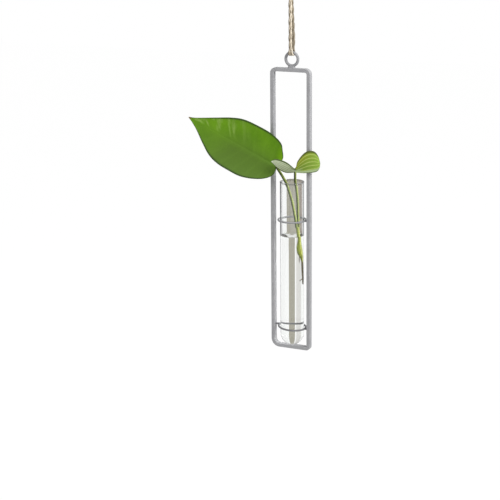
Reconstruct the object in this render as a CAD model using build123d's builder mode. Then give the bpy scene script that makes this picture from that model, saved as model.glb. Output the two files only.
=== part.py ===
"""Hanging propagation vase: flat wire frame, glass test tube and a rooted cutting on a twine.

Millimetres, +Z up. The origin is the bearing point inside the top of the hanging
loop, so the whole vase hangs below it. X runs along the frame's width, and the
front of the vase faces -Y.
"""

import math
import os

from build123d import *

# Glass tube
tube_r = 11.0
tube_wall = 1.0
tube_length = 155.2
lip_bead_r = 0.62
bore_r = tube_r - tube_wall

# Rings that hold the tube
ring_wire_r = 0.85
ring_clearance = 0.7
ring_bend_r = tube_r + ring_clearance + ring_wire_r
upper_ring_height = 121.35
lower_ring_height = 19.4
lower_ring_tilt = 4.0

# Frame of flat wire, its broad side across the frame's depth. The rails stand
# outside the rings by the length of a weld.
flat_thickness = 3.4
flat_depth = 5.0
flat_edge_r = 0.4
weld_gap = 2.7
weld_r = ring_wire_r + 0.1
frame_width = 2 * (ring_bend_r + ring_wire_r + weld_gap) + flat_thickness
frame_height = 258.25
top_bend_r = 3.5
foot_bend_r = 6.0
tight_bend_r = flat_thickness / 2 + 0.6

# The frame hangs a little to the left of its eye, and the tube stands right of its middle
frame_x = -1.0
tube_x = frame_x + 0.8

# Heights of the hanging parts
knot_z = -31.0
knot_r = 5.0
top_bar_z = -103.35
bottom_bar_z = top_bar_z - frame_height

# Hanging eye
eye_wire_r = 1.3
eye_bend_r = 5.9
eye_neck = 0.7
eye_weld_length = 7.4
eye_weld_depth = 3.8
eye_weld_taper = 18.0
eye_weld_x = -0.4
bar_top_z = top_bar_z + flat_thickness / 2
eye_z = bar_top_z + eye_neck + eye_wire_r + eye_bend_r

# Twine
twine_r = 1.5
seat_gap = 0.3
bight_r = eye_wire_r + twine_r + seat_gap

# Heights of the rings, the tube and the water
upper_ring_z = bottom_bar_z + upper_ring_height
lower_ring_z = bottom_bar_z + lower_ring_height
tube_foot_z = bottom_bar_z + flat_thickness / 2 + seat_gap
tube_top_z = tube_foot_z + tube_length
water_below_mouth = 51.2
water_z = tube_top_z - water_below_mouth
water_r = bore_r - 0.05
water_gap = 0.2

# Cutting
petiole_r = 1.1
stem_r = 1.5
node_r = 1.8
root_r = 0.6
side_root_r = 0.35
leaf_thickness = 0.7
leaf_curl_r = 75.0

sphere_seat = knot_r + seat_gap


def frame_outline(grow):
    """The frame's middle line as a rectangle with its bends, moved outwards by a distance."""
    with BuildSketch(Plane.XZ) as outline:
        with Locations((frame_x, (top_bar_z + bottom_bar_z) / 2)):
            Rectangle(frame_width + 2 * grow, frame_height + 2 * grow)
        fillet(outline.vertices().group_by(Axis.Y)[-1], top_bend_r + grow)
        fillet(outline.vertices().group_by(Axis.Y)[0].sort_by(Axis.X)[0], foot_bend_r + grow)
        fillet(outline.vertices().group_by(Axis.Y)[0].sort_by(Axis.X)[-1], tight_bend_r + grow)
    return outline.sketch


# The frame is one flat wire bent to a rectangle. The lower left bend is wide and the lower
# right one tight, where the two ends are welded together.
with BuildPart() as frame_wire:
    extrude(frame_outline(flat_thickness / 2), amount=flat_depth / 2, both=True)
    extrude(frame_outline(-flat_thickness / 2), amount=flat_depth, both=True, mode=Mode.SUBTRACT)
    fillet(frame_wire.edges().group_by(Axis.Y)[0], flat_edge_r)
    fillet(frame_wire.edges().group_by(Axis.Y)[-1], flat_edge_r)
frame_wire.part.label = "frame_wire"


# The eye is a closed ring on a broad weld that fills the space down to the bar.
with BuildPart() as hanging_eye:
    with Locations(Location((0, 0, eye_z), (90, 0, 0))):
        Torus(eye_bend_r, eye_wire_r)
    with BuildSketch(Plane((eye_weld_x, 0, bar_top_z))):
        SlotOverall(eye_weld_length, eye_weld_depth)
    extrude(amount=eye_neck + eye_wire_r - 0.2, taper=eye_weld_taper)
hanging_eye.part.label = "hanging_eye"


def tube_ring(ring_z, tilt, sides):
    """A wire ring, tilted about Y, with a short weld to the rail on each named side."""
    with BuildPart() as ring:
        with Locations(Location((tube_x, 0, ring_z), (0, tilt, 0))):
            Torus(ring_bend_r, ring_wire_r)
        for side in sides:
            ring_end_x = tube_x + side * ring_bend_r * math.cos(math.radians(tilt))
            ring_end_z = ring_z - side * ring_bend_r * math.sin(math.radians(tilt))
            rail_face_x = frame_x + side * (frame_width - flat_thickness) / 2
            with Locations(((ring_end_x + rail_face_x) / 2, 0, ring_end_z)):
                Cylinder(weld_r, abs(rail_face_x - ring_end_x), rotation=(0, 90, 0))
    return ring.part


# The upper ring is welded on the right only, and the lower one on both sides.
upper_tube_ring = tube_ring(upper_ring_z, 0.0, [1])
upper_tube_ring.label = "upper_tube_ring"
lower_tube_ring = tube_ring(lower_ring_z, lower_ring_tilt, [-1, 1])
lower_tube_ring.label = "lower_tube_ring"


# The test tube has a round bottom and a rolled lip.
with BuildPart() as glass_tube:
    bulb_z = tube_foot_z + tube_r
    lip_z = tube_top_z - lip_bead_r
    with BuildSketch(Plane.XZ) as tube_profile:
        with BuildLine():
            Line((tube_x + bore_r, bulb_z), (tube_x + bore_r, lip_z))
            Line((tube_x + bore_r, lip_z), (tube_x + tube_r, lip_z))
            Line((tube_x + tube_r, lip_z), (tube_x + tube_r, bulb_z))
            CenterArc((tube_x, bulb_z), tube_r, 0, -90)
            Line((tube_x, bulb_z - tube_r), (tube_x, bulb_z - bore_r))
            CenterArc((tube_x, bulb_z), bore_r, -90, 90)
        make_face()
        with Locations((tube_x + bore_r + lip_bead_r, lip_z)):
            Circle(lip_bead_r)
    revolve(axis=Axis((tube_x, 0, 0), (0, 0, 1)))
glass_tube.part.label = "glass_tube"


def rod(points, radius):
    """A round rod along a smooth line through the points."""
    with BuildPart() as made:
        with BuildLine() as path:
            Spline(*points)
        with BuildSketch(Plane(path.line @ 0, z_dir=path.line % 0)):
            Circle(radius)
        sweep(path=path.line)
    return made.part


# The cut stem stands in the front right of the tube, with one node and its roots.
# Its points are shares of the bore's radius across and millimetres below the mouth.
def in_tube(across, back, drop):
    """A point in the tube, held to the bore and the mouth."""
    return (tube_x + across * bore_r, back * bore_r, tube_top_z - drop)


stem_line = [
    in_tube(0.64, -0.25, 42.2),
    in_tube(0.65, -0.16, 51.6),
    in_tube(0.66, -0.08, 60.1),
    in_tube(0.70, -0.03, 66.0),
    in_tube(0.72, -0.01, 69.0),
]
root_line = [
    in_tube(0.735, 0.01, 69.3),
    in_tube(0.80, 0.10, 72.9),
    in_tube(0.85, 0.15, 79.6),
    in_tube(0.86, 0.19, 87.6),
    in_tube(0.86, 0.23, 96.6),
]
node_place = in_tube(0.66, -0.08, 60.1)

stem = rod(stem_line, stem_r) + Location(node_place) * Sphere(node_r)
stem.label = "stem"
main_root = rod(root_line, root_r)
main_root.label = "main_root"

side_root_lines = [
    [in_tube(0.755, 0.16, 91.2), in_tube(0.65, 0.12, 92.3), in_tube(0.54, 0.09, 93.2)],
    [in_tube(0.64, -0.06, 69.6), in_tube(0.62, -0.06, 72.6), in_tube(0.60, -0.03, 75.6)],
]
with BuildPart() as side_roots:
    for line in side_root_lines:
        add(rod(line, side_root_r))
side_roots.part.label = "side_roots"

# Each leaf stalk rises from the stem, leans out at the front of the mouth and ends at its leaf.
large_petiole_line = [
    in_tube(0.58, -0.35, 41.9),
    in_tube(0.53, -0.45, 33.9),
    in_tube(0.40, -0.59, 23.3),
    in_tube(0.20, -0.70, 12.9),
    in_tube(-0.12, -0.79, 2.5),
    in_tube(-0.49, -0.88, -5.0),
    in_tube(-0.97, -0.95, -12.3),
]
small_petiole_line = [
    in_tube(0.70, -0.14, 41.9),
    in_tube(0.68, -0.19, 34.6),
    in_tube(0.68, -0.25, 27.0),
    in_tube(0.68, -0.30, 17.6),
    in_tube(0.63, -0.37, 8.3),
    in_tube(0.57, -0.52, -0.4),
    in_tube(0.63, -0.70, -5.4),
    in_tube(0.70, -0.85, -9.1),
]
large_leaf_petiole = rod(large_petiole_line, petiole_r)
large_leaf_petiole.label = "large_leaf_petiole"
small_leaf_petiole = rod(small_petiole_line, petiole_r)
small_leaf_petiole.label = "small_leaf_petiole"


# Water fills the bore up to its level and leaves room for what stands in it.
with BuildPart() as water:
    with Locations((tube_x, 0, (bulb_z + water_z) / 2)):
        Cylinder(water_r, water_z - bulb_z)
    with Locations((tube_x, 0, bulb_z)):
        Sphere(water_r)
    add(rod(stem_line, stem_r + water_gap), mode=Mode.SUBTRACT)
    with Locations(node_place):
        Sphere(node_r + water_gap, mode=Mode.SUBTRACT)
    add(rod(root_line, root_r + water_gap), mode=Mode.SUBTRACT)
    for line in side_root_lines:
        add(rod(line, side_root_r + water_gap), mode=Mode.SUBTRACT)
water.part.label = "water"


# The large leaf faces the front left, curled along its midrib.
large_leaf_seat = Vector(large_petiole_line[-1]) + Vector(-1.5, 0.3, 2.5)
leaf_plane = Plane(large_leaf_seat, x_dir=(0.943, 0.348, 0), z_dir=(0.348, -0.943, 0.15))
large_leaf_edge = [
    (0.5, 0.5),
    (5.8, 6.6),
    (5.6, 14.2),
    (4.0, 21.0),
    (-4.6, 29.4),
    (-19.0, 37.4),
    (-30.4, 42.0),
    (-41.2, 43.3),
    (-54.6, 43.2),
    (-73.0, 42.9),
    (-80.0, 43.6),
]
large_leaf_lower_edge = [
    (-80.0, 43.6),
    (-73.4, 33.2),
    (-67.2, 20.2),
    (-61.2, 9.6),
    (-53.2, 1.8),
    (-41.8, -5.0),
    (-32.7, -9.3),
    (-21.5, -11.5),
    (-10.4, -11.2),
    (-2.6, -7.6),
    (0.5, 0.5),
]
midrib_way = Vector(*large_leaf_edge[-1], 0).normalized()
with BuildPart() as leaf_shell:
    shell_axis = leaf_plane.from_local_coords(midrib_way) - leaf_plane.origin
    shell_seat = leaf_plane.from_local_coords(midrib_way * 40 + Vector(0, 0, leaf_curl_r))
    with BuildSketch(Plane(shell_seat, z_dir=shell_axis)):
        Circle(leaf_curl_r + leaf_thickness / 2)
        Circle(leaf_curl_r - leaf_thickness / 2, mode=Mode.SUBTRACT)
    extrude(amount=70, both=True)
with BuildPart() as large_leaf:
    with BuildSketch(leaf_plane):
        with BuildLine():
            Spline(*large_leaf_edge)
            Spline(*large_leaf_lower_edge)
        make_face()
    extrude(amount=16, both=True)
    add(leaf_shell.part, mode=Mode.INTERSECT)
large_leaf.part.label = "large_leaf"


# The small leaf is twisted: its right half leans back and its left half leans forward.
small_leaf_seat = Vector(small_petiole_line[-1]) + Vector(0.1, -0.3, 2.0)
right_half_plane = Plane(small_leaf_seat, x_dir=(0.987, 0.258, 0), z_dir=(0.254, -0.963, 0.079))
left_half_plane = Plane(small_leaf_seat, x_dir=(0.877, 0.483, 0), z_dir=(0.467, -0.848, -0.24))
right_upper_edge = [
    (-1.2, 0.2),
    (0.9, 4.2),
    (2.1, 9.2),
    (6.7, 15.6),
    (11.4, 18.7),
    (17.0, 18.6),
    (20.7, 14.5),
    (22.5, 8.0),
]
right_lower_edge = [(22.5, 8.0), (22.0, 3.6), (18.9, 0.5), (9.7, -0.8), (-1.2, 0.2)]
left_upper_edge = [(1.2, 0.2), (-1.6, 3.8), (-6.4, 8.3), (-11.7, 11.3), (-18.0, 12.7), (-21.6, 10.4)]
left_lower_edge = [(-21.6, 10.4), (-15.8, 4.0), (-8.4, -0.2), (1.2, 0.2)]
with BuildPart() as small_leaf:
    with BuildSketch(right_half_plane):
        with BuildLine():
            Spline(*right_upper_edge)
            Spline(*right_lower_edge)
        make_face()
    extrude(amount=leaf_thickness / 2, both=True)
    with BuildSketch(left_half_plane):
        with BuildLine():
            Spline(*left_upper_edge)
            Spline(*left_lower_edge)
        make_face()
    extrude(amount=leaf_thickness / 2, both=True)
    with Locations(small_leaf_seat):
        Sphere(1.5)
small_leaf.part.label = "small_leaf"


# Two legs of one twine run down from the knot, pass through the eye and meet below its wire.
# Straight runs are joined by tangent arcs. Round the eye's wire the arc has the wire's size.
eye_top_z = eye_z + eye_bend_r
leg_top_z = knot_z - sphere_seat
half_side = bight_r * 0.4142
twine_route = [
    (-0.7, -1.45, leg_top_z),
    (0, -bight_r, eye_top_z + 12 * twine_r),
    (0, -bight_r, eye_top_z - half_side),
    (0, -half_side, eye_top_z - bight_r),
    (0, half_side, eye_top_z - bight_r),
    (0, bight_r, eye_top_z - half_side),
    (0, bight_r, eye_top_z + 12 * twine_r),
    (0.7, 1.45, leg_top_z),
]


def bend_radii(route, tight=None):
    """The largest arc that each corner's runs leave room for, or the tight one round a hook."""
    radii = []
    for before, corner, after in zip(route, route[1:], route[2:]):
        run_in = Vector(corner) - Vector(before)
        run_out = Vector(after) - Vector(corner)
        turn = run_in.get_angle(run_out)
        shorter = min(run_in.length, run_out.length)
        radius = 0.45 * shorter / math.tan(math.radians(turn / 2))
        if tight and turn > 30:
            radius = tight
        radii.append(radius)
    return radii


def cord(route, radii):
    """A round cord along the route, with its length and bend radii printed."""
    with BuildPart() as made:
        with BuildLine() as path:
            FilletPolyline(*route, radius=radii)
        with BuildSketch(Plane(path.line @ 0, z_dir=path.line % 0)):
            Circle(twine_r)
        sweep(path=path.line)
    length = path.wire().length
    share = made.part.volume / (math.pi * twine_r**2 * length)
    print("cord", round(length, 2), "mm, volume share", round(share, 4))
    print("bend radii", [round(radius, 1) for radius in radii])
    return made.part


hanging_twine = cord(twine_route, bend_radii(twine_route, tight=bight_r - 0.05))
hanging_twine.label = "hanging_twine"

with BuildPart() as twine_knot:
    with Locations((0, 0, knot_z)):
        Sphere(knot_r)
twine_knot.part.label = "twine_knot"

# The loop above the knot goes over a hook that the underside of its top rests on.
loop_foot_z = knot_z + sphere_seat
loop_route = [
    (-1.7, 0, loop_foot_z),
    (-5.6, 0, loop_foot_z + 9.5),
    (-7.3, 0, loop_foot_z + 19.5),
    (-4.3, 0, twine_r),
    (4.3, 0, twine_r),
    (7.3, 0, loop_foot_z + 19.5),
    (5.6, 0, loop_foot_z + 9.5),
    (1.7, 0, loop_foot_z),
]
hanging_loop = cord(loop_route, bend_radii(loop_route))
hanging_loop.label = "hanging_loop"

pieces = {
    "frame_wire": frame_wire.part,
    "hanging_eye": hanging_eye.part,
    "upper_tube_ring": upper_tube_ring,
    "lower_tube_ring": lower_tube_ring,
    "glass_tube": glass_tube.part,
    "water": water.part,
    "hanging_twine": hanging_twine,
    "twine_knot": twine_knot.part,
    "hanging_loop": hanging_loop,
    "large_leaf": large_leaf.part,
    "large_leaf_petiole": large_leaf_petiole,
    "small_leaf": small_leaf.part,
    "small_leaf_petiole": small_leaf_petiole,
    "stem": stem,
    "main_root": main_root,
    "side_roots": side_roots.part,
}
os.makedirs("parts", exist_ok=True)
for name, piece in pieces.items():
    box = piece.bounding_box()
    print(name, len(piece.solids()), round(piece.volume, 1), "mm3", box.min, box.max)

export_step(frame_wire.part, "parts/frame_wire.step")
export_step(hanging_eye.part, "parts/hanging_eye.step")
export_step(upper_tube_ring, "parts/upper_tube_ring.step")
export_step(lower_tube_ring, "parts/lower_tube_ring.step")
export_step(glass_tube.part, "parts/glass_tube.step")
export_step(water.part, "parts/water.step")
export_step(hanging_twine, "parts/hanging_twine.step")
export_step(twine_knot.part, "parts/twine_knot.step")
export_step(hanging_loop, "parts/hanging_loop.step")
export_step(large_leaf.part, "parts/large_leaf.step")
export_step(large_leaf_petiole, "parts/large_leaf_petiole.step")
export_step(small_leaf.part, "parts/small_leaf.step")
export_step(small_leaf_petiole, "parts/small_leaf_petiole.step")
export_step(stem, "parts/stem.step")
export_step(main_root, "parts/main_root.step")
export_step(side_roots.part, "parts/side_roots.step")
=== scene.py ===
# %% [markdown]
# # Hanging propagation vase
# A flat wire frame hangs on jute twine and holds a glass test tube in two rings. A leaf cutting
# roots in the water. The CAD model gives the sizes and places, and this lesson dresses it:
# twine with a lay, clear glass, water with a curved edge, veined leaves and grey paint.

# %% Load the CAD frame
import math
import random

import bpy
from mathutils import Matrix, Vector


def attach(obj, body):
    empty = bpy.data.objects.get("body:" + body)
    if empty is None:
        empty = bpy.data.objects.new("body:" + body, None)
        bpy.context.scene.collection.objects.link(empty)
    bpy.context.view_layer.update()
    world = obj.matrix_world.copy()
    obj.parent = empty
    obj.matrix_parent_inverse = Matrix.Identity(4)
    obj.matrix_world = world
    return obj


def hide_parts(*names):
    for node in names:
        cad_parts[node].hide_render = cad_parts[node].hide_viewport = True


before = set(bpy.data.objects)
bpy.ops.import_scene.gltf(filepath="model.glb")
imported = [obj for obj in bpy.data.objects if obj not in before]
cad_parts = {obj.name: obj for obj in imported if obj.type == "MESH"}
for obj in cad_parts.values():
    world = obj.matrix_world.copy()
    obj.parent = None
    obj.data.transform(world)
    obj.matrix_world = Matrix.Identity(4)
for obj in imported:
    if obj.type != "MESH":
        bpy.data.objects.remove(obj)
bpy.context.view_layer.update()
MM = 0.001
print("CAD nodes:", len(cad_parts))

# %% [markdown]
# ## The camera
# The photograph was taken from the right of the vase and a little above it, with a long lens.
# Three turns aim such a camera: the turn about the upright, the tilt down and a slight roll.
# They are multiplied in that order, so that each one keeps its plain meaning.

# %% Camera
VIEW_TURN = 26.0
VIEW_DOWN = 14.65
VIEW_ROLL = -0.57
CAMERA_PLACE = (0.51898, -1.15272, 0.06183)
SENSOR_WIDTH = 36.0
LENS = 102.4
NEAR_CLIP = 0.01
bpy.ops.object.select_all(action="DESELECT")
view_turn = Matrix.Rotation(math.radians(VIEW_TURN), 4, "Z")
view_tilt = Matrix.Rotation(math.radians(90.0 - VIEW_DOWN), 4, "X")
view_roll = Matrix.Rotation(math.radians(VIEW_ROLL), 4, "Z")
view_angles = (view_turn @ view_tilt @ view_roll).to_euler()
bpy.ops.object.camera_add(location=CAMERA_PLACE, rotation=view_angles)
camera = bpy.context.object
camera.data.sensor_width = SENSOR_WIDTH
camera.data.lens = LENS
camera.data.clip_start = NEAR_CLIP
bpy.context.scene.camera = camera
print("camera lens", camera.data.lens)

# %% [markdown]
# ## The twine's line
# One length of jute twine goes down from the knot, round the wire of the eye and back up. Its
# route is a NURBS curve, which is smooth between the points that pull it into shape. They are
# the CAD route's points, moved a little at the eye and the knot. The plies will follow points
# that are read from this curve, so the route is written only once.


# %% Smooth lines
def smooth_line(name, route):
    """Points along a smooth curve that a route's points pull into shape."""
    curve = bpy.data.curves.new(name, "CURVE")
    curve.dimensions = "3D"
    spline = curve.splines.new("NURBS")
    spline.points.add(len(route) - 1)
    for point, place in zip(spline.points, route):
        point.co = (place[0] * MM, place[1] * MM, place[2] * MM, 1.0)
    spline.order_u = 3
    spline.use_endpoint_u = True
    spline.resolution_u = 24
    carrier = bpy.data.objects.new(name, curve)
    line_mesh = bpy.data.meshes.new_from_object(carrier)
    points = [vertex.co.copy() for vertex in line_mesh.vertices]
    bpy.data.objects.remove(carrier)
    bpy.data.meshes.remove(line_mesh)
    return points


def line_length(points):
    return sum((b - a).length for a, b in zip(points, points[1:]))


# %% Routes of the twine and the loop
# Under the eye's top the twine's route is like half an octagon, seen from the side. BIGHT is half
# its width, DROP is its depth, and SPREAD is how far each leg stands to its own side.
EYE_TOP = -87.85
BIGHT = 2.9
DROP = 2.25
SPREAD = 0.15
OCTAGON_SIDE = 0.4142
HALF_SIDE = BIGHT * OCTAGON_SIDE
LEGS_BEND_Z = EYE_TOP + 18.0
BIGHT_Z = EYE_TOP - DROP
twine_line = smooth_line(
    "twine_route",
    [
        (-0.8, -1.45, -36.3),
        (-SPREAD, -BIGHT, LEGS_BEND_Z),
        (-SPREAD, -BIGHT, EYE_TOP - HALF_SIDE),
        (-SPREAD * 0.4, -HALF_SIDE, BIGHT_Z),
        (SPREAD * 0.4, HALF_SIDE, BIGHT_Z),
        (SPREAD, BIGHT, EYE_TOP - HALF_SIDE),
        (SPREAD, BIGHT, LEGS_BEND_Z),
        (-1.2, 1.45, -36.3),
    ],
)
loop_line = smooth_line(
    "loop_route",
    [
        (-1.7, 0.0, -25.7),
        (-5.6, 0.0, -16.2),
        (-7.3, 0.0, -6.2),
        (-4.3, 0.0, 1.5),
        (4.3, 0.0, 1.5),
        (7.3, 0.0, -6.2),
        (5.6, 0.0, -16.2),
        (1.7, 0.0, -25.7),
    ],
)
print("twine", round(line_length(twine_line), 4), "loop", round(line_length(loop_line), 4))

# %% [markdown]
# ## Laying the plies
# Jute twine is three yarns twisted together. A wave texture on a plain tube would only paint
# that twist, so each yarn is a real tube that winds round the twine's line. The winding needs
# a frame that doesn't flip on the way, so each step turns the last one as little as possible.
# Round the eye the yarns are pressed flat, and there they lie side by side.


# %% Steps and frames along a line
def even_steps(points, step):
    """The same line with its points evenly spaced."""
    spaced = [points[0]]
    left = step
    for a, b in zip(points, points[1:]):
        run = (b - a).length
        gone = 0.0
        while run - gone >= left:
            gone += left
            left = step
            spaced.append(a.lerp(b, gone / run))
        left -= run - gone
    if (points[-1] - spaced[-1]).length > step * 0.3:
        spaced.append(points[-1])
    return spaced


def steady_frames(points):
    """A side and a front direction at each point, turned along without a twist."""
    side = Vector((1.0, 0.0, 0.0))
    frames = []
    for i in range(len(points)):
        ahead = points[min(i + 1, len(points) - 1)] - points[max(i - 1, 0)]
        ahead.normalize()
        side = side - ahead * side.dot(ahead)
        if side.length < 1e-6:
            side = ahead.orthogonal()
        side.normalize()
        frames.append((side.copy(), ahead.cross(side)))
    return frames


# %% Tubes along lines
def select_only(*pieces):
    """Selects these pieces alone and makes the last one active."""
    bpy.ops.object.select_all(action="DESELECT")
    for piece in pieces:
        piece.select_set(True)
    bpy.context.view_layer.objects.active = pieces[-1]


def tube_mesh(name, lines, thickness, sides=2, radius=None, edge_angle=None):
    """A mesh with a round tube along each line; radius(share) scales it along the way."""
    curve = bpy.data.curves.new(name, "CURVE")
    curve.dimensions = "3D"
    curve.bevel_depth = thickness * MM
    curve.bevel_resolution = sides
    curve.use_fill_caps = True
    for line in lines:
        spline = curve.splines.new("POLY")
        spline.points.add(len(line) - 1)
        for i, (point, place) in enumerate(zip(spline.points, line)):
            point.co = (place[0], place[1], place[2], 1.0)
            if radius:
                point.radius = radius(i / (len(line) - 1))
    made = bpy.data.objects.new(name, curve)
    bpy.context.scene.collection.objects.link(made)
    select_only(made)
    bpy.ops.object.convert(target="MESH")
    if edge_angle:
        bpy.ops.object.shade_smooth_by_angle(angle=math.radians(edge_angle))
    else:
        bpy.ops.object.shade_smooth()
    return bpy.context.object


# %% Plies
PLY_STEP = 0.5
PLY_WIND = 0.78
PLY_PITCH = 22.0
PLY_RADIUS = 0.88
PLY_SWAY = 0.10
FLAT_RUN = 5.0
FLAT_GAP = 1.5


def ply_lines(points, wind, pitch, start=0.0, flat_z=None):
    """Three lines that wind round one line, in millimetres, and lie flat near a height."""
    spaced = even_steps(points, PLY_STEP * MM)
    frames = steady_frames(spaced)
    lines = []
    for ply in range(3):
        line = []
        for i, (point, (side, front)) in enumerate(zip(spaced, frames)):
            turn = 2.0 * math.pi * (i * PLY_STEP / pitch + ply / 3.0) + start
            sway = 1.0 + PLY_SWAY * math.sin(0.37 * i + 2.1 * ply)
            aside = math.cos(turn) * wind * sway
            ahead = math.sin(turn) * wind * sway
            if flat_z is not None:
                flat = math.exp(-(((point.z / MM - flat_z) / FLAT_RUN) ** 2))
                aside += (FLAT_GAP * (ply - 1) - aside) * flat
                ahead -= ahead * flat
            line.append(point + (side * aside + front * ahead) * MM)
        lines.append(line)
    return lines


twine_plies = ply_lines(twine_line, PLY_WIND, PLY_PITCH, 0.0, BIGHT_Z)
twine = tube_mesh("jute_twine", twine_plies, PLY_RADIUS)
loop = tube_mesh("jute_loop", ply_lines(loop_line, PLY_WIND, PLY_PITCH, 1.0), PLY_RADIUS)
print("ply faces", len(twine.data.polygons), len(loop.data.polygons))

# %% [markdown]
# ## The knot
# An overhand knot ties both legs together below the loop. A knot's core is a trefoil: a line
# that goes three times over and under itself. Three sines give that line, and the same plies
# are laid along it, wound tighter. Short ends of the legs and of the loop run into its middle.

# %% Knot
KNOT_Z = -31.0
KNOT_SIZE = 1.10
KNOT_DEPTH = 1.55
KNOT_STEPS = 180
KNOT_PITCH = 9.0
knot_line = []
for step in range(KNOT_STEPS + 1):
    t = 2.0 * math.pi * step / KNOT_STEPS
    across = KNOT_SIZE * (math.sin(t) + 2.0 * math.sin(2.0 * t))
    up = KNOT_SIZE * (math.cos(t) - 2.0 * math.cos(2.0 * t))
    back = -KNOT_DEPTH * math.sin(3.0 * t)
    knot_line.append(Vector((across, back, up + KNOT_Z)) * MM)
knot_ends = [
    [(-0.8, -1.45, -36.25), (-0.4, -0.9, -31.5)],
    [(-1.2, 1.45, -36.25), (-0.6, 0.9, -31.5)],
    [(-1.7, 0.0, -25.75), (-0.5, 0.0, -30.5)],
    [(1.7, 0.0, -25.75), (0.5, 0.0, -30.5)],
]
knot_plies = ply_lines(knot_line, 0.66, KNOT_PITCH)
for end in knot_ends:
    knot_plies += ply_lines([Vector(place) * MM for place in end], 0.70, KNOT_PITCH)
knot = tube_mesh("jute_knot", knot_plies, 0.74)
print("knot faces", len(knot.data.polygons))

# %% [markdown]
# ## Stray fibres
# Jute is hairy: short fibres stand out of the yarns all along. A particle system could grow
# them, but a few dozen thin curves with seeded places give the same fuzz and stay the same in
# every render.

# %% Stray fibres
FIBRE_RADIUS = 0.05
YARN_SKIN = 1.1
random.seed(7)


def fibre_lines(points, count):
    """Short bent hairs that leave a line sideways and turn along it."""
    spaced = even_steps(points, PLY_STEP * MM)
    frames = steady_frames(spaced)
    hairs = []
    for _ in range(count):
        i = random.randrange(8, len(spaced) - 8)
        side, front = frames[i]
        ahead = (spaced[i + 2] - spaced[i - 2]).normalized()
        turn = random.uniform(0.0, 2.0 * math.pi)
        out = side * math.cos(turn) + front * math.sin(turn)
        lean = ahead * random.choice((-1.0, 1.0))
        reach = random.uniform(0.5, 1.5)
        run = random.uniform(1.5, 4.0)
        root = spaced[i] + out * YARN_SKIN * MM
        middle = root + (out * 0.7 * reach + lean * 0.4 * run) * MM
        tip = root + (out * reach + lean * run) * MM
        hairs.append([root, middle, tip])
    return hairs


def hair_taper(share):
    """A hair's radius, which shrinks to a quarter at its tip."""
    return 1.0 - 0.75 * share


twine_fibres = tube_mesh("twine_fibres", fibre_lines(twine_line, 90), FIBRE_RADIUS, 0, hair_taper)
loop_fibres = tube_mesh("loop_fibres", fibre_lines(loop_line, 50), FIBRE_RADIUS, 0, hair_taper)
print("fibre faces", len(twine_fibres.data.polygons), len(loop_fibres.data.polygons))

# %% [markdown]
# ## What the twine belongs to
# The legs hang with the frame, the loop stays on its hook, and the knot swings between them. Each
# is told which body it rides on, and the CAD node that it stands for is hidden.

# %% Twine on its bodies
for piece in (twine, twine_fibres):
    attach(piece, "frame")
for piece in (loop, loop_fibres):
    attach(piece, "loop")
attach(knot, "knot")
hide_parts("hanging_twine")
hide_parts("hanging_loop")
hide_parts("twine_knot")
tuple(twine_line[0])
tuple(loop_line[0])
print("cords", twine.name, loop.name)

# %% [markdown]
# ## The glass tube
# A test tube is round about one axis, so its wall is one profile spun about that axis. The
# profile runs up the outside, over the rolled lip and down the inside. The wall gets a second
# material below the water, because light bends less from glass to water than from glass to air.


# %% Lathe for the tube and the water
TUBE_X = -0.2
SPIN_STEPS = 128


def lathe(name, profile):
    """A profile of (radius, height) in millimetres, spun about the tube's upright axis."""
    bpy.ops.object.select_all(action="DESELECT")
    bpy.ops.mesh.primitive_plane_add(size=0.001)
    made = bpy.context.object
    made.name = name
    bpy.ops.object.mode_set(mode="EDIT")
    bpy.ops.mesh.select_all(action="SELECT")
    bpy.ops.mesh.merge(type="CENTER")
    start = ((TUBE_X + profile[0][0]) * MM, 0.0, profile[0][1] * MM)
    bpy.ops.transform.translate(value=start)
    for (r0, z0), (r1, z1) in zip(profile, profile[1:]):
        step = ((r1 - r0) * MM, 0.0, (z1 - z0) * MM)
        bpy.ops.mesh.extrude_region_move(TRANSFORM_OT_translate={"value": step})
    bpy.ops.mesh.select_all(action="SELECT")
    middle = (TUBE_X * MM, 0.0, 0.0)
    bpy.ops.mesh.spin(steps=SPIN_STEPS, angle=2.0 * math.pi, center=middle, axis=(0, 0, 1))
    bpy.ops.mesh.select_all(action="SELECT")
    bpy.ops.mesh.remove_doubles(threshold=2e-6)
    bpy.ops.mesh.normals_make_consistent(inside=False)
    bpy.ops.object.mode_set(mode="OBJECT")
    bpy.ops.object.shade_smooth_by_angle(angle=math.radians(50))
    return made


def arc(middle, radius, start, end, steps):
    """Points of (radius, height) on an arc from one angle to another, in degrees."""
    angles = [math.radians(start + (end - start) * i / steps) for i in range(steps + 1)]
    return [(middle[0] + radius * math.cos(a), middle[1] + radius * math.sin(a)) for a in angles]


# %% Glass tube
TUBE_R = 11.0
BORE_R = 10.0
BULB_Z = -348.6
BULB_STEPS = 24
LIP_R = 0.62
LIP_Z = -204.4 - LIP_R
CONTACT_Z = -254.4
bulb = (0.0, BULB_Z)
tube_profile = arc(bulb, TUBE_R, -90.0, 0.0, BULB_STEPS)
for z in (-330.0, -300.0, -270.0, CONTACT_Z, -240.0, -215.0, -207.4, -206.4):
    tube_profile.append((TUBE_R, z))
tube_profile.append((TUBE_R + 0.05, -205.9))
tube_profile += arc((BORE_R + LIP_R, LIP_Z), LIP_R, -45.0, 180.0, 14)
for z in (-206.4, -215.0, -235.0, CONTACT_Z, -270.0, -300.0, -330.0):
    tube_profile.append((BORE_R, z))
tube_profile += arc(bulb, BORE_R, 0.0, -90.0, BULB_STEPS)
glass = lathe("glass_test_tube", tube_profile)
print("glass faces", len(glass.data.polygons))

# %% [markdown]
# ## The water
# Water climbs a little up clean glass, so its level ends in a curved edge. That edge is what
# shows as a dark ellipse. The body of the water is spun like the tube, a hair inside the bore.

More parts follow.
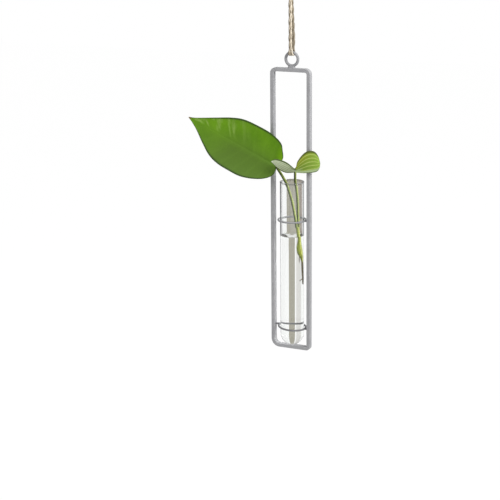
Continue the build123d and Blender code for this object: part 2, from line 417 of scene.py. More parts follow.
# %% Water
WATER_Z = -255.6
WATER_R = BORE_R - 0.03
EDGE_RUN = 1.6
EDGE_STEPS = 16
water_profile = arc(bulb, WATER_R, -90.0, 0.0, BULB_STEPS)
for z in (-320.0, -290.0, -265.0):
    water_profile.append((WATER_R, z))
for i in range(EDGE_STEPS + 1):
    r = WATER_R * (1.0 - i / EDGE_STEPS) ** 0.6
    climb = (CONTACT_Z - WATER_Z) * math.exp((r - WATER_R) / EDGE_RUN)
    water_profile.append((r, WATER_Z + climb))
water_body = lathe("tube_water", water_profile)
print("water faces", len(water_body.data.polygons))
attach(glass, "tube")
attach(water_body, "tube")
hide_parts("glass_tube")
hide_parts("water")

# %% [markdown]
# ## Stalks, stem and roots
# Stalks are round, bent where they lean on the rim, and thinner where they meet the leaf. A
# curve with a round bevel draws such a stalk in one go, and a radius at each point gives its
# taper. The curve passes through its points, so the stalks follow the CAD routes. The stem
# swells at its node, and it runs down a little over the top of the root.


# %% Stalk helpers
def through_points(points, steps=10):
    """A smooth line through all points."""
    line = []
    padded = [points[0] * 2 - points[1]] + points + [points[-1] * 2 - points[-2]]
    for a, b, c, d in zip(padded, padded[1:], padded[2:], padded[3:]):
        for k in range(steps):
            t = k / steps
            bend = (2 * a - 5 * b + 4 * c - d) * t * t
            ease = (3 * b - a - 3 * c + d) * t * t * t
            line.append(0.5 * (2 * b + (c - a) * t + bend + ease))
    line.append(points[-1])
    return line


def stalk(name, route, radii):
    """A round stalk through the route's points, with its radii spread evenly along it."""

    def radius(share):
        place = share * (len(radii) - 1)
        low = min(int(place), len(radii) - 2)
        return radii[low] + (radii[low + 1] - radii[low]) * (place - low)

    line = through_points([Vector(place) * MM for place in route])
    return tube_mesh(name, [line], 1.0, 6, radius, 60)


# %% Stalks
large_stalk = stalk(
    "large_leaf_stalk",
    [
        (5.6, -3.5, -246.3),
        (5.1, -4.5, -238.3),
        (3.8, -5.9, -227.7),
        (1.8, -7.0, -217.3),
        (-1.4, -7.9, -206.9),
        (-5.1, -8.8, -199.4),
        (-9.9, -9.5, -192.1),
        (-11.6, -9.5, -189.6),
    ],
    [1.2, 1.2, 1.2, 1.2, 1.2, 1.25, 1.25, 0.8],
)
small_stalk = stalk(
    "small_leaf_stalk",
    [
        (6.8, -1.4, -246.3),
        (6.6, -1.9, -239.0),
        (6.6, -2.5, -231.4),
        (6.6, -3.0, -222.0),
        (6.1, -3.7, -212.7),
        (5.5, -5.2, -204.0),
        (6.1, -7.0, -199.0),
        (6.8, -8.5, -195.3),
        (6.9, -8.8, -193.4),
    ],
    [1.2, 1.2, 1.2, 1.2, 1.2, 1.2, 1.2, 1.2, 0.9],
)
print("stalk faces", len(large_stalk.data.polygons), len(small_stalk.data.polygons))

# %% Stem and roots
stem = stalk(
    "cut_stem",
    [
        (6.2, -2.5, -245.9),
        (6.9, -1.6, -256.0),
        (6.2, -0.75, -264.0),
        (6.85, -0.2, -270.4),
        (7.8, 0.5, -274.2),
        (8.25, 1.0, -278.6),
    ],
    [1.5, 1.5, 1.45, 1.6, 2.2, 2.5, 2.45, 2.1, 1.7, 1.45, 1.1],
)
main_root = stalk(
    "main_root_line",
    [(8.15, 0.9, -276.6), (8.15, 1.4, -284.0), (8.2, 1.8, -292.0), (8.25, 2.2, -300.9)],
    [0.95, 1.2, 1.2, 0.8],
)
side_root = stalk(
    "side_root_lines",
    [(8.2, 2.0, -295.0), (7.35, 1.6, -295.6), (6.3, 1.2, -296.7), (5.2, 0.9, -297.6)],
    [0.4, 0.38, 0.34, 0.2],
)
second_root = stalk(
    "second_root",
    [(6.6, -0.5, -271.6), (6.2, -0.6, -274.0), (6.0, -0.6, -277.0), (5.8, -0.3, -280.0)],
    [0.38, 0.35, 0.3, 0.15],
)
select_only(second_root, side_root)
bpy.ops.object.join()
stalk_nodes = {
    large_stalk: ("large_leaf_petiole", "stalk_green"),
    small_stalk: ("small_leaf_petiole", "stalk_green"),
    stem: ("stem", "stalk_green"),
    main_root: ("main_root", "root_brown"),
    side_root: ("side_roots", "root_brown"),
}
for piece, (cad_node, finish) in stalk_nodes.items():
    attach(piece, "cutting")
    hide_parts(cad_node)
print("stalk pieces", len(stalk_nodes))

# %% [markdown]
# ## Leaf blades
# A leaf blade is a thin sheet with a midrib and side veins that sweep forward to its edge. A
# grid is laid out so that its rows are those veins: each row runs from the midrib to the edge.
# The grid's UV map then knows where the veins are. The sheet is curled along the midrib and
# given its thickness by Solidify.


# %% Blade helpers
def on_line(points, share):
    """The point at a share of the way along a smooth line."""
    place = share * (len(points) - 1)
    low = min(int(place), len(points) - 2)
    return points[low].lerp(points[low + 1], place - low)


def edge_line(edge):
    """An outline's points in millimetres as an evenly spaced smooth line."""
    line = through_points([Vector((x, y, 0.0)) for x, y in edge], 24)
    return even_steps(line, 0.4)


def to_world(seat, across, facing, place):
    """A place in a leaf's own plane, moved to the vase."""
    x_way = Vector(across).normalized()
    z_way = Vector(facing).normalized()
    y_way = z_way.cross(x_way)
    return (Vector(seat) + x_way * place[0] + y_way * place[1] + z_way * place[2]) * MM


def blade_grid(name, rows, columns, shape):
    """A grid whose every vertex is put in place by shape(along, across)."""
    bpy.ops.object.select_all(action="DESELECT")
    bpy.ops.mesh.primitive_grid_add(x_subdivisions=rows, y_subdivisions=columns, size=2.0)
    made = bpy.context.object
    made.name = name
    for vertex in made.data.vertices:
        vertex.co = shape((vertex.co.x + 1.0) / 2.0, vertex.co.y)
    bpy.ops.object.shade_smooth()
    return made


# %% Outline of the large leaf
LEAF_BASE = (0.5, 0.5)
LEAF_POINT = (-79.8, 43.5)
upper_edge = edge_line(
    [
        LEAF_BASE,
        (5.8, 6.6),
        (5.6, 14.2),
        (4.0, 21.0),
        (-4.6, 29.4),
        (-19.0, 37.4),
        (-30.4, 42.0),
        (-41.2, 43.3),
        (-54.6, 43.2),
        (-73.0, 42.9),
        LEAF_POINT,
    ]
)
lower_edge = edge_line(
    [
        LEAF_BASE,
        (-2.6, -7.6),
        (-10.4, -11.2),
        (-21.5, -11.5),
        (-32.7, -9.3),
        (-41.8, -5.0),
        (-53.2, 1.8),
        (-61.2, 9.6),
        (-67.2, 20.2),
        (-73.4, 33.2),
        LEAF_POINT,
    ]
)
print("edge lengths in mm", round(line_length(upper_edge)), round(line_length(lower_edge)))

# %% Large leaf
LEAF_SEAT = (-11.4, -9.2, -189.6)
LEAF_ACROSS = (0.943, 0.348, 0.0)
LEAF_FACING = (0.348, -0.943, 0.15)
LEAF_TIP = Vector((*LEAF_POINT, 0.0))
LEAF_CURL = 75.0
LEAF_VEINS = 9.0
VEIN_SPACING = 1.7
VEIN_DEPTH = 0.16
CREASE_DEPTH = 0.45
CREASE_WIDTH = 0.05
WAVE_HEIGHT = 0.35
rib_way = LEAF_TIP.normalized()


def large_leaf_shape(along, across):
    """A point of the large leaf: along its veins' feet, across from midrib to edge."""
    edge = on_line(upper_edge if across > 0 else lower_edge, along)
    rib = LEAF_TIP * along**VEIN_SPACING
    reach = abs(across)
    flat = rib.lerp(edge, reach)
    aside = (flat - rib_way * flat.dot(rib_way)).length
    curl = LEAF_CURL - math.sqrt(LEAF_CURL**2 - aside**2)
    crease = -CREASE_DEPTH * math.exp(-((reach / CREASE_WIDTH) ** 2)) * (1.0 - along)
    furrow = (0.5 + 0.5 * math.cos(2.0 * math.pi * LEAF_VEINS * along)) ** 4
    vein = -VEIN_DEPTH * furrow * math.sin(math.pi * reach)
    wave = WAVE_HEIGHT * math.sin(7.0 * along + (1.5 if across > 0 else 0.2)) * reach**3
    lift = curl + crease + vein + wave
    return to_world(LEAF_SEAT, LEAF_ACROSS, LEAF_FACING, (flat.x, flat.y, lift))


large_leaf = blade_grid("large_leaf_blade", 120, 80, large_leaf_shape)

# %% [markdown]
# ## The small leaf
# The young leaf is still half folded: one half leans back and shows its upper side, and the
# other leans forward and shows its pale underside. One grid with a sharp fold would stretch
# there, so each half is a grid of its own between two edges, with a slight swell.

# %% Small leaf
SMALL_SEAT = (6.9, -8.8, -193.3)
RIGHT_END = (22.5, 8.0)
LEFT_END = (-21.6, 10.4)
right_top = edge_line(
    [
        (-1.6, 1.7),
        (0.9, 4.4),
        (2.1, 9.2),
        (6.7, 15.6),
        (11.4, 18.7),
        (17.0, 18.6),
        (20.7, 14.5),
        RIGHT_END,
    ]
)
right_foot = edge_line([(-1.6, -0.9), (9.7, -1.1), (18.9, 0.3), (22.0, 3.6), RIGHT_END])
left_top = edge_line(
    [(1.6, 1.7), (-1.6, 3.9), (-6.4, 8.3), (-11.7, 11.3), (-18.0, 12.7), LEFT_END]
)
left_foot = edge_line([(1.6, -0.9), (-8.4, -0.8), (-15.8, 3.6), LEFT_END])


def half_shape(first, last, height, sideways, facing):
    """The shape of a half that spans from its first edge to its last one and swells between."""

    def shape(along, across):
        reach = (across + 1.0) / 2.0
        flat = on_line(first, along).lerp(on_line(last, along), reach)
        swell = height * math.sin(math.pi * reach) * math.sin(math.pi * along)
        return to_world(SMALL_SEAT, sideways, facing, (flat.x, flat.y, swell))

    return shape


right_shape = half_shape(right_foot, right_top, 0.9, (0.987, 0.258, 0.0), (0.254, -0.963, 0.079))
left_shape = half_shape(left_top, left_foot, 0.8, (0.877, 0.483, 0.0), (0.467, -0.848, -0.24))
small_right = blade_grid("small_leaf_blade", 48, 32, right_shape)
small_left = blade_grid("small_leaf_left_half", 48, 32, left_shape)
print("small leaf faces", len(small_right.data.polygons) + len(small_left.data.polygons))

# %% [markdown]
# ## Finishes
# Every finish is a node material. Colour comes from noise in object coordinates, or from the
# UV map where a pattern follows the leaf. Values that are the same all over are set on the
# shader itself. A few small functions add the nodes and wire them up.


# %% Materials, nodes and wires
def finish_named(name, roughness, ior=1.45):
    """A new node material and its shader."""
    made = bpy.data.materials.new(name)
    made.use_nodes = True
    shader = made.node_tree.nodes["Principled BSDF"]
    shader.inputs["Roughness"].default_value = roughness
    shader.inputs["IOR"].default_value = ior
    return made, shader


def node(made, kind, **settings):
    """Adds a node and sets its values, by property or by socket name."""
    new = made.node_tree.nodes.new(kind)
    for key, value in settings.items():
        if hasattr(new, key):
            setattr(new, key, value)
        else:
            new.inputs[key.replace("_", " ").title()].default_value = value
    return new


def wire(made, start, end):
    made.node_tree.links.new(start, end)


def coat(piece, *finishes):
    """Gives a piece these finishes and no others."""
    piece.data.materials.clear()
    for finish in finishes:
        piece.data.materials.append(finish)


# %% Noise, tones and grain
def speckle(made, scale, detail=4.0, stretch=(1.0, 1.0, 1.0), space="Object"):
    """A noise value in object coordinates, or in another space."""
    place = node(made, "ShaderNodeTexCoord")
    mapping = node(made, "ShaderNodeMapping")
    mapping.inputs["Scale"].default_value = stretch
    noise = node(made, "ShaderNodeTexNoise", scale=scale, detail=detail)
    wire(made, place.outputs[space], mapping.inputs["Vector"])
    wire(made, mapping.outputs["Vector"], noise.inputs["Vector"])
    return noise.outputs["Fac"]


def srgb(red, green, blue):
    """A colour picked from a screen, as the shader needs it."""
    linear = []
    for channel in (red, green, blue):
        c = channel / 255.0
        linear.append(c / 12.92 if c <= 0.04045 else ((c + 0.055) / 1.055) ** 2.4)
    return tuple(linear)


def two_tone(made, value, dark, light, low=0.3, high=0.7):
    """A colour between two tones, by a value."""
    ramp = node(made, "ShaderNodeValToRGB")
    ramp.color_ramp.elements[0].position = low
    ramp.color_ramp.elements[0].color = (*dark, 1.0)
    ramp.color_ramp.elements[1].position = high
    ramp.color_ramp.elements[1].color = (*light, 1.0)
    wire(made, value, ramp.inputs["Fac"])
    return ramp.outputs["Color"]


def grain(made, shader, value, depth):
    """A fine bump of that depth in metres."""
    bump = node(made, "ShaderNodeBump", strength=1.0, distance=depth)
    wire(made, value, bump.inputs["Height"])
    wire(made, bump.outputs["Normal"], shader.inputs["Normal"])


# %% [markdown]
# ## Grey paint
# The wires are coated in matt grey. One flat colour would look like plastic, so a soft noise
# moves the tone a little and a fine bump breaks up the gloss. The rings and the eye look darker
# in the photograph than the broad rails, so each has a darker pair of the same grey: painted
# shade, deepest on the lower ring.


# %% Grey paint
def wire_paint(name, dark, light):
    """Matt paint between two level greys, with slight blotches and a fine grain."""
    made, shader = finish_named(name, 0.55)
    shader.inputs["Specular IOR Level"].default_value = 0.3
    tone = two_tone(made, speckle(made, 260.0), srgb(*dark), srgb(*light))
    wire(made, tone, shader.inputs["Base Color"])
    grain(made, shader, speckle(made, 2200.0, 2.0), 0.00006)
    return made


paints = {
    "frame_wire": wire_paint("grey_frame_paint", (150, 150, 152), (160, 160, 162)),
    # The eye's and the rings' darker greys are painted shade on the frame's one paint, deepest on
    # the lower ring.
    "hanging_eye": wire_paint("grey_eye_paint_shaded", (138, 138, 140), (150, 150, 152)),
    "upper_tube_ring": wire_paint("grey_upper_ring_paint_shaded", (132, 132, 134), (146, 146, 148)),
    "lower_tube_ring": wire_paint("grey_lower_ring_paint_shaded", (106, 106, 108), (120, 120, 122)),
}
for cad_node, paint in paints.items():
    coat(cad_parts[cad_node], paint)
print("painted wires", len(paints))

# %% [markdown]
# ## Glass and water
# Clear glass is a shader with full transmission. In a white room its edge shows as a dark line,
# so painted shade darkens the tone where the surface turns away from the eye. Each face of the
# tube
# gets its finish by its place: outside or in the bore, above or below the water, or on the rolled
# lip.


# %% Clear glass, dry and wet
GLASS_IOR = 1.47
GLASS_IN_WATER_IOR = 1.105
LIP_FOOT_Z = -206.0


def facing_away(made):
    """A value that is 0 where a surface faces the eye and 1 where it turns away."""
    return node(made, "ShaderNodeLayerWeight", blend=0.5).outputs["Facing"]


def clear(name, ior, tint, edge=None, edge_from=0.5, edge_to=0.85):
    """A clear finish, with painted shade where its surface turns away if an edge tone is given.
    """
    made, shader = finish_named(name, 0.0, ior)
    shader.inputs["Transmission Weight"].default_value = 1.0
    shader.inputs["Base Color"].default_value = (*tint, 1.0)
    if edge:
        tone = two_tone(made, facing_away(made), tint, edge, edge_from, edge_to)
        wire(made, tone, shader.inputs["Base Color"])
    return made


# The edge tones are painted shade at the glass's edges, and the lip's grey tint is painted shade
# as well.
glass_finishes = [
    clear("clear_glass_dry", GLASS_IOR, (0.95, 0.96, 0.955), (0.01, 0.012, 0.012), 0.32, 0.7),
    clear("clear_glass_low", GLASS_IOR, (0.97, 0.975, 0.97), (0.5, 0.51, 0.51), 0.6, 0.9),
    clear("clear_glass_bore", GLASS_IOR, (0.97, 0.975, 0.97)),
    clear("clear_glass_wet", GLASS_IN_WATER_IOR, (0.98, 0.985, 0.98)),
    clear("clear_glass_lip_shaded", GLASS_IOR, (0.66, 0.67, 0.67), (0.05, 0.055, 0.055), 0.3, 0.8),
]
LIP_FINISH = 4
coat(glass, *glass_finishes)
bulb_middle = Vector((TUBE_X, 0.0, BULB_Z)) * MM
for face in glass.data.polygons:
    reach = face.center - bulb_middle
    inside = reach.xy.length < (BORE_R + 0.1) * MM
    if reach.z < 0.0:
        inside = reach.length < (BORE_R + 0.3) * MM
    below = face.center.z < CONTACT_Z * MM
    face.material_index = (2 if inside else 0) + (1 if below else 0)
    if face.center.z > LIP_FOOT_Z * MM:
        face.material_index = LIP_FINISH
glass.visible_shadow = False
print("glass finishes", len(glass_finishes))

# %% Water finish
# The wet glass already bends the light on its way into the water, so the water's side bends none.
WATER_IOR = 1.33
NO_BEND = 1.0
# The surface's grey tint is painted shade that darkens the water line.
water_top = clear("water_surface", WATER_IOR, (0.86, 0.875, 0.87))
water_side = clear("water_at_glass", NO_BEND, (0.985, 0.99, 0.985))
coat(water_body, water_top, water_side)
for face in water_body.data.polygons:
    face.material_index = 0 if face.normal.z > 0.05 else 1
water_body.visible_shadow = False
print("water surface faces", sum(face.material_index == 0 for face in water_body.data.polygons))

# %% [markdown]
# ## Jute
# Jute is dull and streaked along the yarn, so its noise is stretched upwards. The light comes
# from the right, and the left side and the back leg are darker in the photograph. Two more tones
# are blended in there, by the way a surface faces and by its place from front to back.


# %% Jute
LIT_WAY = (0.9, 0.44, 0.0)


def coordinates(made, space):
    """The X, Y and Z values of one kind of texture coordinates."""
    place = node(made, "ShaderNodeTexCoord")
    parts = node(made, "ShaderNodeSeparateXYZ")
    wire(made, place.outputs[space], parts.inputs["Vector"])
    return parts.outputs


def lit_side(made):
    """A value that grows as a surface turns to the vase's lit side."""
    place = node(made, "ShaderNodeTexCoord")
    along = node(made, "ShaderNodeVectorMath", operation="DOT_PRODUCT")
    wire(made, place.outputs["Normal"], along.inputs[0])
    along.inputs[1].default_value = LIT_WAY
    return along.outputs["Value"]


def shaped(made, value, low, high, top=1.0):
    """A value stretched so that low gives 0 and high gives the top."""
    stretch = node(made, "ShaderNodeMapRange", from_min=low, from_max=high, to_max=top)
    wire(made, value, stretch.inputs["Value"])
    return stretch.outputs[0]


def blend(made, value, first, second):
    """The first colour where the value is 0, and the second one where it is 1."""
    mixed = node(made, "ShaderNodeMix", data_type="RGBA")
    wire(made, value, mixed.inputs[0])
    wire(made, first, mixed.inputs[6])
    mixed.inputs[7].default_value = (*second, 1.0)
    return mixed.outputs[2]


jute, jute_shader = finish_named("jute_yarn", 0.9)
jute_shader.inputs["Specular IOR Level"].default_value = 0.15
jute_streaks = speckle(jute, 900.0, 5.0, (1.0, 1.0, 0.25))
jute_tone = two_tone(jute, jute_streaks, srgb(160, 147, 126), srgb(222, 212, 194), 0.34, 0.64)
# Painted shade: the side turned from the lamp and the back leg are blended to darker tones.
jute_shade = shaped(jute, lit_side(jute), 0.1, -0.5, 0.85)
jute_tone = blend(jute, jute_shade, jute_tone, srgb(120, 107, 88))
jute_back_shade = shaped(jute, coordinates(jute, "Object")["Y"], 0.0002, 0.0012, 0.8)
jute_tone = blend(jute, jute_back_shade, jute_tone, srgb(112, 102, 84))
wire(jute, jute_tone, jute_shader.inputs["Base Color"])
grain(jute, jute_shader, speckle(jute, 3500.0, 3.0, (1.0, 1.0, 0.2)), 0.0002)
jute_pieces = (twine, loop, knot, twine_fibres, loop_fibres)
for piece in jute_pieces:
    coat(piece, jute)
print("jute pieces", len(jute_pieces))

# %% [markdown]
# ## Leaf finishes
# The UV map runs from the base to the tip and from one edge to the other, so veins are plain
# bands in it: one band along the middle for the midrib, and a row of narrow bands for the side
# veins. The underside is paler and duller than the upper side.


# %% Leaf patterns
def reckon(made, operation, value, number=0.0):
    """One sum with a value and a number."""
    sums = node(made, "ShaderNodeMath", operation=operation)
    sums.inputs[1].default_value = number
    wire(made, value, sums.inputs[0])
    return sums.outputs[0]


def both(made, first, second):
    """The product of two values, which is high only where both are."""
    product = node(made, "ShaderNodeMath", operation="MULTIPLY")
    wire(made, first, product.inputs[0])
    wire(made, second, product.inputs[1])
    return product.outputs[0]


def blade_finish(name, dark, light):
    """A leaf side with blotches and a fine grain, and its two UV values."""
    made, shader = finish_named(name, 0.5)
    shader.inputs["Specular IOR Level"].default_value = 0.2
    tone = two_tone(made, speckle(made, 70.0, 6.0), dark, light)
    parts = coordinates(made, "UV")
    grain(made, shader, speckle(made, 900.0, 3.0), 0.00008)
    return made, shader, tone, parts["X"], parts["Y"]


def veined(made, tone, value, count, vein_tone, strength):
    """A colour with a row of narrow bands of the vein's colour, along a UV value."""
    beat = reckon(made, "COSINE", reckon(made, "MULTIPLY", value, 2.0 * math.pi * count))
    return blend(made, shaped(made, beat, 0.5, 1.0, strength), tone, vein_tone)


def highlight_streaks(made, along, across):
    """Painted highlights: pale streaks between the veins of a leaf's upper part, towards its tip.
    """
    noise = speckle(made, 1.0, 3.0, (26.0, 2.0, 1.0), "UV")
    where = both(made, shaped(made, along, 0.48, 0.66), shaped(made, across, 0.55, 0.72))
    return both(made, where, shaped(made, noise, 0.48, 0.62, 0.9))


# %% Large leaf's sides
LEAF_RIM_SHADE = srgb(42, 64, 18)
DRY_TIP_TONE = srgb(120, 96, 52)


def big_leaf_side(name, dark, light, sheen_and_shade, vein_tone, strength, highlight_tone, lobe_tone):
    """A side of the large leaf: lower half darkened by painted sheen and shade, midrib, a dark
    rim of painted shade and a dry brown tip.
    """
    made, shader, tone, along, across = blade_finish(name, dark, light)
    # Painted reflection and shade: the lower half is blended to a second, darker tone.
    shade = both(made, shaped(made, across, 0.84, 0.4, 0.95), shaped(made, along, 1.0, 0.6))
    tone = blend(made, shade, tone, sheen_and_shade)
    # Painted highlights: pale streaks on the upper part.
    tone = blend(made, highlight_streaks(made, along, across), tone, highlight_tone)
    lobe = both(made, shaped(made, across, 0.66, 0.84), shaped(made, along, 0.2, 0.08, 0.9))
    tone = blend(made, lobe, tone, lobe_tone)
    tone = veined(made, tone, along, LEAF_VEINS, vein_tone, strength)
    aside = reckon(made, "ABSOLUTE", reckon(made, "SUBTRACT", across, 0.5))
    tone = blend(made, shaped(made, aside, 0.016, 0.004, strength * 1.6), tone, vein_tone)
    # The dark band along the edge is painted shade.
    tone = blend(made, shaped(made, aside, 0.458, 0.48, 0.9), tone, LEAF_RIM_SHADE)
    tone = blend(made, shaped(made, along, 0.975, 0.99), tone, DRY_TIP_TONE)
    wire(made, tone, shader.inputs["Base Color"])
    return made


leaf_under = big_leaf_side(
    "leaf_green_under",
    dark=srgb(110, 145, 75),
    light=srgb(128, 160, 92),
    sheen_and_shade=srgb(118, 148, 88),
    vein_tone=srgb(150, 178, 115),
    strength=0.3,
    highlight_tone=srgb(140, 170, 104),
    lobe_tone=srgb(126, 160, 84),
)
leaf_top = big_leaf_side(
    "leaf_green_top",
    dark=srgb(80, 122, 6),
    light=srgb(94, 138, 12),
    sheen_and_shade=srgb(75, 103, 30),
    vein_tone=srgb(104, 138, 50),
    strength=0.06,
    highlight_tone=srgb(118, 150, 62),
    lobe_tone=srgb(108, 156, 6),
)
leaf_rim = big_leaf_side(
    "leaf_green_rim",
    dark=srgb(46, 70, 18),
    light=srgb(58, 82, 24),
    sheen_and_shade=srgb(46, 66, 22),
    vein_tone=srgb(60, 84, 30),
    strength=0.1,
    highlight_tone=srgb(60, 84, 30),
    lobe_tone=srgb(58, 82, 24),
)

# %% Large leaf made thick
BLADE_THICKNESS = 0.5


def thicken(blade):
    """Gives a sheet its thickness, with slots for its underside and its rim."""
    solid = blade.modifiers.new("leaf_thickness", "SOLIDIFY")
    solid.thickness = BLADE_THICKNESS * MM
    solid.offset = 0.0
    solid.material_offset = 1
    solid.material_offset_rim = 2
    select_only(blade)
    bpy.ops.object.modifier_apply(modifier=solid.name)


coat(large_leaf, leaf_under, leaf_top, leaf_rim)
thicken(large_leaf)
print("large leaf faces", len(large_leaf.data.polygons))

# %% [markdown]
# ## The young leaf's finish
# The small leaf is paler than the large one, with lines from end to end and a folded hem along
# its foot. Its halves show opposite sides, so the same finishes are used for both, and the first
# two change places on the left half.


# %% Young leaf's sides
YOUNG_VEINS = 6.0
YOUNG_RIM_TONE = srgb(70, 80, 30)
YOUNG_FOOT_TONE = srgb(78, 94, 50)
YOUNG_EDGE_TONE = srgb(66, 74, 26)


def young_side(name, dark, light, olive, vein_tone, strength, hem_tone, hem, end_tone):
    """A side of the small leaf's halves: paler to the end, with a folded hem at its foot."""
    made, shader, tone, along, across = blade_finish(name, dark, dark)
    tone = blend(made, shaped(made, along, 0.25, 0.85, 0.8), tone, light)
    upper = both(made, shaped(made, across, 0.45, 0.8), shaped(made, along, 0.75, 0.35, 0.85))
    tone = blend(made, upper, tone, olive)
    tone = veined(made, tone, across, YOUNG_VEINS, vein_tone, strength)
    low = shaped(made, across, hem + 0.3, hem + 0.1)
    base = both(made, low, shaped(made, along, 0.34, 0.1, 0.9))
    tone = blend(made, base, tone, hem_tone)
    tone = blend(made, shaped(made, across, hem, hem - 0.03), tone, hem_tone)
    tone = blend(made, shaped(made, across, 0.05, 0.025, 0.85), tone, YOUNG_FOOT_TONE)
    tone = blend(made, shaped(made, along, 0.9, 0.95, 0.8), tone, end_tone)
    tone = blend(made, shaped(made, across, 0.885, 0.93, 0.9), tone, YOUNG_EDGE_TONE)
    wire(made, tone, shader.inputs["Base Color"])
    return made


young_top = young_side(
    "young_leaf_top",
    dark=srgb(98, 122, 36),
    light=srgb(136, 168, 64),
    olive=srgb(128, 136, 28),
    vein_tone=srgb(190, 204, 116),
    strength=0.5,
    hem_tone=srgb(156, 174, 128),
    hem=0.15,
    end_tone=YOUNG_RIM_TONE,
)
young_under = young_side(
    "young_leaf_under",
    dark=srgb(122, 133, 98),
    light=srgb(166, 177, 146),
    olive=srgb(128, 140, 104),
    vein_tone=srgb(192, 200, 174),
    strength=0.8,
    hem_tone=srgb(72, 86, 48),
    hem=0.16,
    # This pale end tone is a painted highlight.
    end_tone=srgb(206, 214, 190),
)
young_rim = young_side(
    "young_leaf_rim",
    dark=srgb(76, 96, 40),
    light=srgb(96, 116, 56),
    olive=srgb(84, 92, 34),
    vein_tone=srgb(110, 130, 70),
    strength=0.1,
    hem_tone=srgb(90, 108, 58),
    hem=0.05,
    end_tone=YOUNG_RIM_TONE,
)

# %% Small leaf made thick and joined
coat(small_right, young_top, young_under, young_rim)
coat(small_left, young_under, young_top, young_rim)
thicken(small_right)
thicken(small_left)
select_only(small_left, small_right)
bpy.ops.object.join()
for piece, (cad_node, finish) in {
    large_leaf: ("large_leaf", "leaf_green"),
    small_right: ("small_leaf", "young_leaf"),
}.items():
    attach(piece, "cutting")
    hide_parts(cad_node)
print("blades", [len(piece.data.polygons) for piece in (large_leaf, small_right)])

# %% [markdown]
# ## Stalk and root finishes
# Stalks are streaked along their length and shine on the side that faces the lamp. A single
# noise couldn't show that, so a painted shade and a painted highlight are added by the way the
# skin faces. The roots are plain dull brown.


# %% Stalk green
def stalk_side(name, dark, light, shade, shine):
    """A round stalk's skin: streaked, with painted shade on its left and a painted highlight on
    its right.
    """
    made, shader = finish_named(name, 0.4)
    shader.inputs["Specular IOR Level"].default_value = 0.35
    tone = two_tone(made, speckle(made, 300.0, 4.0, (1.0, 1.0, 0.12)), dark, light)
    side = lit_side(made)
    tone = blend(made, shaped(made, side, 0.35, 0.8, 0.75), tone, shine)
    tone = blend(made, shaped(made, side, 0.15, -0.4, 0.95), tone, shade)
    wire(made, tone, shader.inputs["Base Color"])
    grain(made, shader, speckle(made, 1500.0, 2.0, (1.0, 1.0, 0.1)), 0.0001)
    return made


stalk_finish = stalk_side(
    "stalk_green",
    dark=srgb(92, 106, 32),
    light=srgb(114, 128, 48),
    shade=srgb(36, 50, 14),
    shine=srgb(196, 206, 132),
)
stem_finish = stalk_side(
    "stem_green",
    dark=srgb(118, 128, 30),
    light=srgb(148, 160, 52),
    shade=srgb(98, 108, 22),
    shine=srgb(222, 226, 138),
)
coat(large_stalk, stalk_finish)
coat(small_stalk, stalk_finish)
coat(stem, stem_finish)
print("stalk finishes", stalk_finish.name, stem_finish.name)

# %% Root brown
root_finish, root_shader = finish_named("root_brown", 0.6)
root_shader.inputs["Specular IOR Level"].default_value = 0.05
root_streaks = speckle(root_finish, 500.0, 4.0, (1.0, 1.0, 0.3))
root_tone = two_tone(root_finish, root_streaks, srgb(64, 54, 6), srgb(82, 72, 16))
wire(root_finish, root_tone, root_shader.inputs["Base Color"])
grain(root_finish, root_shader, speckle(root_finish, 1800.0, 2.0), 0.0001)
coat(main_root, root_finish)
coat(side_root, root_finish)
print("root finish", root_finish.name)

# %% [markdown]
# ## Studio
# The vase hangs over a pale floor in soft light, with the brighter lamp on the right. Rays from
# the camera, and those that glass and gloss send on, see plain white behind it, while the light
# on the vase itself stays at an ordinary level.


# %% Floor
FLOOR_SIZE = 8.0
FLOOR_Z = -0.62
BACKDROP_GLOW = 1.05
BACKDROP_SHARE = 0.9


def sees_backdrop(made):
    """One where a ray comes from the camera, a reflection or glass."""
    path = node(made, "ShaderNodeLightPath")
    seen = path.outputs["Is Camera Ray"]
    for ray in ("Is Glossy Ray", "Is Transmission Ray"):
        either = node(made, "ShaderNodeMath", operation="MAXIMUM")
        wire(made, seen, either.inputs[0])
        wire(made, path.outputs[ray], either.inputs[1])
        seen = either.outputs[0]
    return seen


bpy.ops.object.select_all(action="DESELECT")
bpy.ops.mesh.primitive_plane_add(size=FLOOR_SIZE, location=(0.0, 0.0, FLOOR_Z))
floor = bpy.context.object
floor.name = "studio_floor"
floor_paint = bpy.data.materials.new("pale_floor")
floor_paint.use_nodes = True
floor_nodes = floor_paint.node_tree.nodes
floor_shader = floor_nodes["Principled BSDF"]
floor_shader.inputs["Base Color"].default_value = (0.86, 0.86, 0.86, 1.0)
floor_shader.inputs["Roughness"].default_value = 0.9
backdrop = node(floor_paint, "ShaderNodeEmission", strength=BACKDROP_GLOW)
seen_share = reckon(floor_paint, "MULTIPLY", sees_backdrop(floor_paint), BACKDROP_SHARE)
floor_mix = node(floor_paint, "ShaderNodeMixShader")
wire(floor_paint, seen_share, floor_mix.inputs[0])
wire(floor_paint, floor_shader.outputs[0], floor_mix.inputs[1])
wire(floor_paint, backdrop.outputs[0], floor_mix.inputs[2])
wire(floor_paint, floor_mix.outputs[0], floor_nodes["Material Output"].inputs["Surface"])
coat(floor, floor_paint)
print("floor at", FLOOR_Z, "m")

# %% [markdown]
# ## Cards behind the tube
# In the photograph a beige strip shows through the glass: broad where the tube is empty, and
# narrow where the water acts as a lens. It is taken for the room behind the tube. So cards stand
# there, and only rays that have passed the glass see them. Refraction does the rest.

# %% Cards behind the tube
CARD_BEHIND = 100.0
CARD_FOOT = -450.0
CARD_TOP = -150.0
CARD_BREAK = -281.5
card_turn = math.radians(VIEW_TURN)


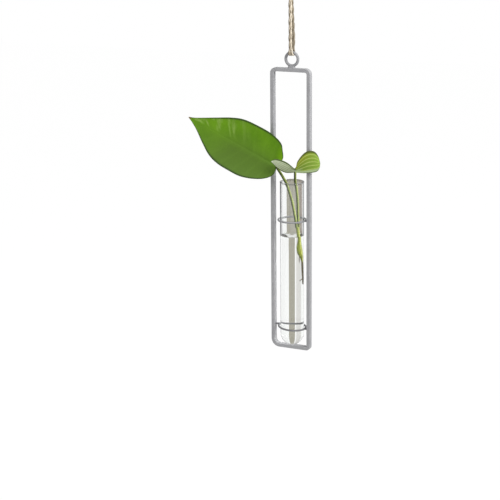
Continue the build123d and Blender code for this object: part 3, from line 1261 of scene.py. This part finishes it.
def studio_card(name, left, right, foot, top, tone):
    """A glowing upright card in the room, seen only by rays that have passed the glass."""
    bpy.ops.object.select_all(action="DESELECT")
    middle = Vector(((left + right) / 2.0, CARD_BEHIND, (foot + top) / 2.0))
    place = Matrix.Rotation(card_turn, 4, "Z") @ middle + Vector((TUBE_X, 0.0, 0.0))
    turn = (math.radians(90.0), 0.0, card_turn)
    bpy.ops.mesh.primitive_plane_add(size=1.0, location=place * MM, rotation=turn)
    card = bpy.context.object
    card.name = name
    card.scale = ((right - left) * MM, (top - foot) * MM, 1.0)
    paint = bpy.data.materials.new(name)
    paint.use_nodes = True
    glow = node(paint, "ShaderNodeEmission")
    glow.inputs["Color"].default_value = (*tone, 1.0)
    wire(paint, glow.outputs[0], paint.node_tree.nodes["Material Output"].inputs["Surface"])
    coat(card, paint)
    for ray in ("visible_camera", "visible_diffuse", "visible_glossy", "visible_shadow"):
        setattr(card, ray, False)
    print(name, "is", right - left, "mm wide")


studio_card("beige_card", -6.0, 14.5, CARD_FOOT, CARD_TOP, srgb(168, 164, 150))
studio_card("brown_card", 14.5, 34.0, CARD_BREAK, CARD_TOP, srgb(168, 156, 146))
studio_card("pale_card", -37.0, -11.0, CARD_FOOT, CARD_BREAK, srgb(224, 222, 219))

# %% [markdown]
# ## World and lamps
# A white world lights the vase softly from all around, at about half the level that the camera
# sees. Area lamps add direction, and their size sets how soft the shading is: a large one at the
# right, a small one close to the vase on the same side, and a weak one that fills the left.

# %% World
WORLD_LIGHT = 0.55
WORLD_SEEN = 1.0
world = bpy.data.worlds.new("studio_world")
bpy.context.scene.world = world
world.use_nodes = True
sky = world.node_tree.nodes["Background"]
sky.inputs["Color"].default_value = (1.0, 1.0, 1.0, 1.0)
level = node(world, "ShaderNodeMapRange", to_min=WORLD_LIGHT, to_max=WORLD_SEEN)
wire(world, sees_backdrop(world), level.inputs["Value"])
wire(world, level.outputs[0], sky.inputs["Strength"])
print("world light", WORLD_LIGHT)

# %% Lamps
LAMP_AIM = Vector((0.0, 0.0, -0.2))


def soft_lamp(name, place, size, power):
    """A square lamp that looks at the middle of the vase."""
    bpy.ops.object.select_all(action="DESELECT")
    aim = LAMP_AIM - Vector(place)
    turn = aim.to_track_quat("-Z", "Y").to_euler()
    bpy.ops.object.light_add(type="AREA", location=place, rotation=turn)
    lamp = bpy.context.object
    lamp.name = name
    lamp.data.size = size
    lamp.data.energy = power
    print(name, power, "W")


soft_lamp("key_lamp", (1.1, -0.5, 0.7), 0.7, 17.0)
soft_lamp("side_lamp", (0.30, 0.04, 0.16), 0.12, 0.7)
soft_lamp("fill_lamp", (-0.8, -1.0, 0.4), 0.9, 2.5)
bpy.context.scene.view_settings.view_transform = "Standard"
